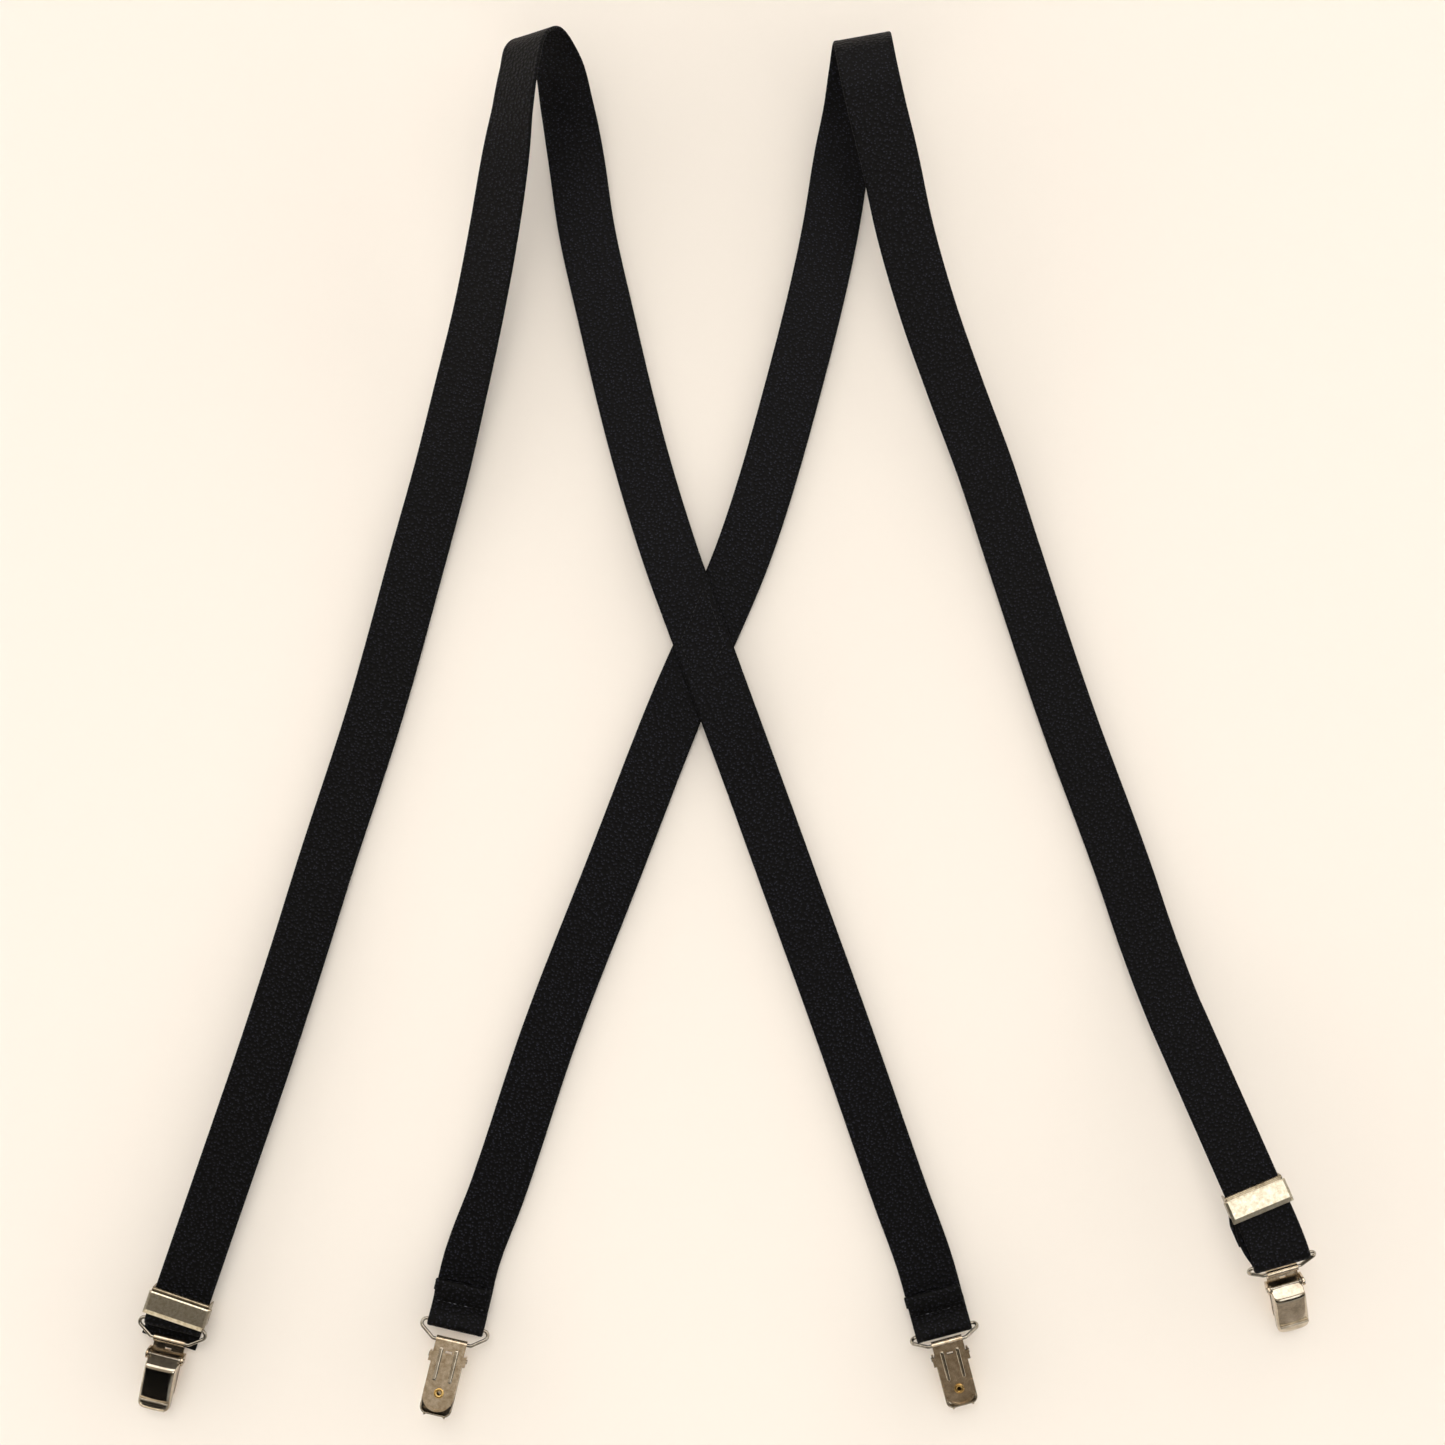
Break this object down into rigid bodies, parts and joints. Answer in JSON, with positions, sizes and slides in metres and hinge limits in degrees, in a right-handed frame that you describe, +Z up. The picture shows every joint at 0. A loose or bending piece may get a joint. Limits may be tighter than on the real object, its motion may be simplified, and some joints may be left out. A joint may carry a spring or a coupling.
{
  "type": "clip-on suspenders",
  "caption": "X-back suspenders of elastic webbing with slide adjusters on the front runs and a hinged clip on a wire bail at every end.",
  "frame": {"origin": "middle of the bounding box in plan, on the surface the suspenders lie on", "axes": "+X to the right and +Y towards the shoulder folds as laid out, +Z up from the surface"},
  "size_m": [0.5238, 0.612, 0.0387],
  "materials": {
    "elastic_webbing": "woven elastic, matte",
    "sewing_thread": "spun thread",
    "nickel_wire": "plated wire",
    "nickel_plate": "polished nickel plate",
    "satin_nickel": "satin with polished bevels",
    "brass": "plain",
    "grip_polymer": "moulded, matte"
  },
  "bodies": {
    "straps": {"strap_left": "elastic_webbing", "strap_right": "elastic_webbing", "cross_stitches": "sewing_thread", "back_hem_stitches_left": "sewing_thread", "back_hem_stitches_right": "sewing_thread", "front_run_left": "elastic_webbing", "front_run_right": "elastic_webbing"},
    "left_loop_end": {"webbing_turn_left": "elastic_webbing", "return_run_left": "elastic_webbing"},
    "left_adjuster": {"adjuster_frame_left": "satin_nickel", "adjuster_pin_left": "satin_nickel", "front_hem_left": "elastic_webbing", "front_hem_stitches_left": "sewing_thread"},
    "left_adjuster_flap": {"adjuster_flap_left": "satin_nickel"},
    "right_loop_end": {"webbing_turn_right": "elastic_webbing", "return_run_right": "elastic_webbing"},
    "right_adjuster": {"adjuster_frame_right": "satin_nickel", "adjuster_pin_right": "satin_nickel", "front_hem_right": "elastic_webbing", "front_hem_stitches_right": "sewing_thread"},
    "right_adjuster_flap": {"adjuster_flap_right": "satin_nickel"},
    "front_left_bail": {"bail_front_left": "nickel_wire"},
    "front_left_clip": {"clip_plate_front_left": "nickel_plate", "eyelet_front_left": "brass", "grip_pad_front_left": "grip_polymer", "pivot_pin_front_left": "nickel_plate"},
    "front_left_lever": {"lever_front_left": "nickel_plate"},
    "front_right_bail": {"bail_front_right": "nickel_wire"},
    "front_right_clip": {"clip_plate_front_right": "nickel_plate", "eyelet_front_right": "brass", "grip_pad_front_right": "grip_polymer", "pivot_pin_front_right": "nickel_plate"},
    "front_right_lever": {"lever_front_right": "nickel_plate"},
    "back_left_bail": {"bail_back_left": "nickel_wire"},
    "back_left_clip": {"clip_plate_back_left": "nickel_plate", "eyelet_back_left": "brass", "grip_pad_back_left": "grip_polymer", "pivot_pin_back_left": "nickel_plate"},
    "back_left_lever": {"lever_back_left": "nickel_plate"},
    "back_right_bail": {"bail_back_right": "nickel_wire"},
    "back_right_clip": {"clip_plate_back_right": "nickel_plate", "eyelet_back_right": "brass", "grip_pad_back_right": "grip_polymer", "pivot_pin_back_right": "nickel_plate"},
    "back_right_lever": {"lever_back_right": "nickel_plate"}
  },
  "joints": [
    {"name": "left_adjuster_slide", "type": "slide", "parent": "left_loop_end", "child": "left_adjuster", "axis": [0.3222, 0.9465, -0.0175], "range_m": [0, 0.045], "deforming": ["return_run_left"]},
    {"name": "left_length_slide", "type": "slide", "parent": "straps", "child": "left_loop_end", "axis": [0.3222, 0.9465, -0.0175], "range_m": [0, 0.045], "deforming": ["front_run_left"]},
    {"name": "left_flap_hinge", "type": "hinge", "parent": "left_adjuster", "child": "left_adjuster_flap", "pos_m": [-0.24154, -0.25172, 0.00677], "axis": [-0.9466, 0.3223, 0], "range_deg": [0, 90]},
    {"name": "right_adjuster_slide", "type": "slide", "parent": "right_loop_end", "child": "right_adjuster", "axis": [-0.383, 0.9157, -0.1219], "range_m": [-0.009, 0.04], "deforming": ["return_run_right"]},
    {"name": "right_length_slide", "type": "slide", "parent": "straps", "child": "right_loop_end", "axis": [-0.383, 0.9157, -0.1219], "range_m": [-0.009, 0.04], "deforming": ["front_run_right"]},
    {"name": "right_flap_hinge", "type": "hinge", "parent": "right_adjuster", "child": "right_adjuster_flap", "pos_m": [0.23379, -0.2001, 0.01666], "axis": [-0.9225, -0.3859, 0], "range_deg": [0, 90]},
    {"name": "front_left_bail_hinge", "type": "hinge", "parent": "left_loop_end", "child": "front_left_bail", "pos_m": [-0.2456, -0.2642, 0.0045], "axis": [-0.9703, 0.2419, 0], "range_deg": [0, 45]},
    {"name": "front_left_clip_hinge", "type": "hinge", "parent": "front_left_bail", "child": "front_left_clip", "pos_m": [-0.24741, -0.27148, 0.00437], "axis": [-0.9703, 0.2419, 0], "range_deg": [0, 20]},
    {"name": "front_left_lever_hinge", "type": "hinge", "parent": "front_left_clip", "child": "front_left_lever", "pos_m": [-0.24918, -0.27855, 0.0053], "axis": [-0.9703, 0.2419, 0], "range_deg": [0, 95]},
    {"name": "front_right_bail_hinge", "type": "hinge", "parent": "right_loop_end", "child": "front_right_bail", "pos_m": [0.2458, -0.2315, 0.018], "axis": [-0.9613, -0.2756, 0], "range_deg": [0, 60]},
    {"name": "front_right_clip_hinge", "type": "hinge", "parent": "front_right_bail", "child": "front_right_clip", "pos_m": [0.24747, -0.23733, 0.01359], "axis": [-0.9613, -0.2756, 0], "range_deg": [0, 30]},
    {"name": "front_right_lever_hinge", "type": "hinge", "parent": "front_right_clip", "child": "front_right_lever", "pos_m": [0.24947, -0.24429, 0.01229], "axis": [-0.9613, -0.2756, 0], "range_deg": [0, 95]},
    {"name": "back_left_bail_hinge", "type": "hinge", "parent": "straps", "child": "back_left_bail", "pos_m": [-0.1195, -0.265, 0.0028], "axis": [-0.9744, 0.225, 0], "range_deg": [0, 60]},
    {"name": "back_left_clip_hinge", "type": "hinge", "parent": "back_left_bail", "child": "back_left_clip", "pos_m": [-0.1211, -0.27195, 0.00512], "axis": [-0.9744, 0.225, 0], "range_deg": [0, 30]},
    {"name": "back_left_lever_hinge", "type": "hinge", "parent": "back_left_clip", "child": "back_left_lever", "pos_m": [-0.12276, -0.27911, 0.00495], "axis": [0.9744, -0.225, 0], "range_deg": [0, 95]},
    {"name": "back_right_bail_hinge", "type": "hinge", "parent": "straps", "child": "back_right_bail", "pos_m": [0.099, -0.2675, 0.0028], "axis": [-0.9659, -0.2588, 0], "range_deg": [0, 60]},
    {"name": "back_right_clip_hinge", "type": "hinge", "parent": "back_right_bail", "child": "back_right_clip", "pos_m": [0.09979, -0.27045, 0.00965], "axis": [-0.9659, -0.2588, 0], "range_deg": [0, 30]},
    {"name": "back_right_lever_hinge", "type": "hinge", "parent": "back_right_clip", "child": "back_right_lever", "pos_m": [0.10157, -0.27709, 0.00704], "axis": [0.9659, 0.2588, 0], "range_deg": [0, 95]}
  ],
  "couplings": [
    {"joint": "left_length_slide", "follows": "left_adjuster_slide", "ratio": 1},
    {"joint": "right_length_slide", "follows": "right_adjuster_slide", "ratio": 1}
  ]
}
